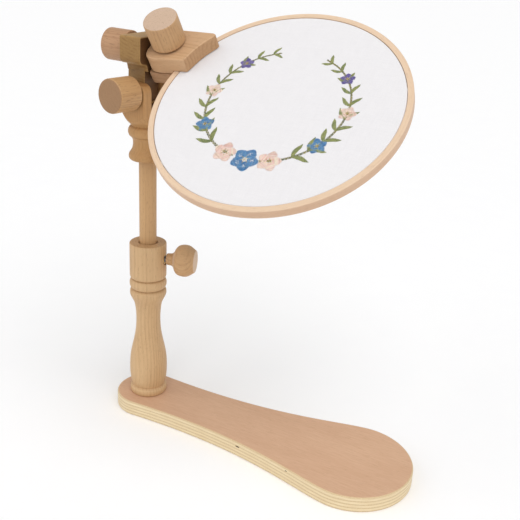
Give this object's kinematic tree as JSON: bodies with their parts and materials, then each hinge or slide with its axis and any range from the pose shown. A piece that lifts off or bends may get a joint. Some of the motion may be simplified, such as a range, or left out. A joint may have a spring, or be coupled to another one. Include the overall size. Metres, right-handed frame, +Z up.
{
  "type": "embroidery hoop stand",
  "caption": "Table-top embroidery hoop on a plywood base, with a telescoping turned post, two knob-locked tilt pivots and a two-jaw clamp that grips the hoop's rim.",
  "frame": {"origin": "middle of the base's underside, on its centre line", "axes": "+Z up; +X along the base from the post to its broad end; +Y to the back"},
  "size_m": [0.3175, 0.1732, 0.3883],
  "materials": {
    "veneered_ply": "satin",
    "turned_beech": "satin",
    "dowel": "satin",
    "hoop_wood": "satin",
    "cloth": "matte",
    "steel": "satin",
    "brass": "satin"
  },
  "bodies": {
    "stand": {"base_board": "veneered_ply", "base_bolt": "steel", "base_washer": "steel", "post_insert": "brass", "lower_post": "turned_beech", "socket_insert": "brass"},
    "height_screw": {"height_screw": "steel"},
    "height_knob": {"height_knob": "turned_beech"},
    "mast": {"mast_rod": "dowel"},
    "head": {"mast_head": "turned_beech", "lower_pivot_bolt": "steel", "lower_far_washer": "steel", "lower_near_washer": "steel"},
    "lower_nut": {"lower_knob_insert": "brass"},
    "lower_knob": {"lower_pivot_knob": "turned_beech"},
    "link": {"link_arm": "turned_beech", "upper_pivot_washer": "steel"},
    "clamp": {"upper_jaw": "turned_beech", "upper_pivot_bolt": "steel", "upper_pivot_insert": "brass", "clamp_knob_washer": "steel"},
    "upper_nut": {"upper_knob_insert": "brass"},
    "upper_knob": {"upper_pivot_knob": "turned_beech"},
    "clamp_knob": {"clamp_knob": "turned_beech", "clamp_knob_insert": "brass"},
    "lower_jaw": {"lower_jaw": "turned_beech", "clamp_bolt": "steel", "clamp_bolt_washer": "steel"},
    "hoop": {"hoop_outer_ring": "hoop_wood", "hoop_inner_ring": "hoop_wood", "fabric": "cloth", "hoop_lug_left": "brass", "hoop_lug_right": "brass"},
    "hoop_screw": {"hoop_tension_screw": "steel"},
    "hoop_nut": {"hoop_tension_nut": "brass"}
  },
  "joints": [
    {"name": "height_screw_feed", "type": "slide", "parent": "stand", "child": "height_screw", "axis": [0.9397, 0.342, 0], "range_m": [0, 0.005]},
    {"name": "height_knob_turn", "type": "hinge", "parent": "height_screw", "child": "height_knob", "pos_m": [-0.1232, 0, 0.1592], "axis": [0.9397, 0.342, 0], "range_deg": [0, 1801]},
    {"name": "mast_slide", "type": "slide", "parent": "stand", "child": "mast", "axis": [0, 0, 1], "range_m": [-0.019, 0.025]},
    {"name": "head_swivel", "type": "hinge", "parent": "mast", "child": "head", "pos_m": [-0.1232, 0, 0.27], "axis": [0, 0, 1], "continuous": true},
    {"name": "lower_nut_feed", "type": "slide", "parent": "head", "child": "lower_nut", "axis": [-0.1736, -0.9848, 0], "range_m": [0, 0.005]},
    {"name": "lower_knob_turn", "type": "hinge", "parent": "lower_nut", "child": "lower_knob", "pos_m": [-0.1232, 0, 0.3164], "axis": [-0.1736, -0.9848, 0], "range_deg": [0, 1801]},
    {"name": "link_tilt", "type": "hinge", "parent": "head", "child": "link", "pos_m": [-0.1232, 0, 0.3164], "axis": [0.1736, 0.9848, 0], "range_deg": [-24, 12]},
    {"name": "clamp_tilt", "type": "hinge", "parent": "link", "child": "clamp", "pos_m": [-0.12234, -0.00015, 0.35199], "axis": [0.9997, 0.0001, -0.0241], "range_deg": [-80, 45]},
    {"name": "upper_nut_feed", "type": "slide", "parent": "clamp", "child": "upper_nut", "axis": [-0.9997, -0.0001, 0.0241], "range_m": [0, 0.005]},
    {"name": "upper_knob_turn", "type": "hinge", "parent": "upper_nut", "child": "upper_knob", "pos_m": [-0.12234, -0.00015, 0.35199], "axis": [-0.9997, -0.0001, 0.0241], "range_deg": [0, 1801]},
    {"name": "clamp_knob_turn", "type": "hinge", "parent": "clamp", "child": "clamp_knob", "pos_m": [-0.09871, 0.00211, 0.35308], "axis": [0.0194, -0.5912, 0.8063], "range_deg": [0, 2161]},
    {"name": "lower_jaw_drop", "type": "slide", "parent": "clamp", "child": "lower_jaw", "axis": [-0.0194, 0.5912, -0.8063], "range_m": [0, 0.006]},
    {"name": "hoop_withdraw", "type": "slide", "parent": "clamp", "child": "hoop", "axis": [0.9548, -0.2283, -0.1904], "range_m": [0, 0.12]},
    {"name": "tension_screw_turn", "type": "hinge", "parent": "hoop", "child": "hoop_screw", "pos_m": [-0.0913, 0.00556, 0.34439], "axis": [0.2966, 0.7735, 0.5601], "range_deg": [0, 721]},
    {"name": "tension_nut_feed", "type": "slide", "parent": "hoop", "child": "hoop_nut", "axis": [-0.2966, -0.7735, -0.5601], "range_m": [0, 0.0014]}
  ],
  "couplings": [
    {"joint": "height_knob_turn", "follows": "height_screw_feed", "rad_per_m": 6283.2},
    {"joint": "lower_knob_turn", "follows": "lower_nut_feed", "rad_per_m": 6283.2},
    {"joint": "upper_knob_turn", "follows": "upper_nut_feed", "rad_per_m": 6283.2},
    {"joint": "clamp_knob_turn", "follows": "lower_jaw_drop", "rad_per_m": 6283.2},
    {"joint": "tension_screw_turn", "follows": "tension_nut_feed", "rad_per_m": 8976}
  ]
}
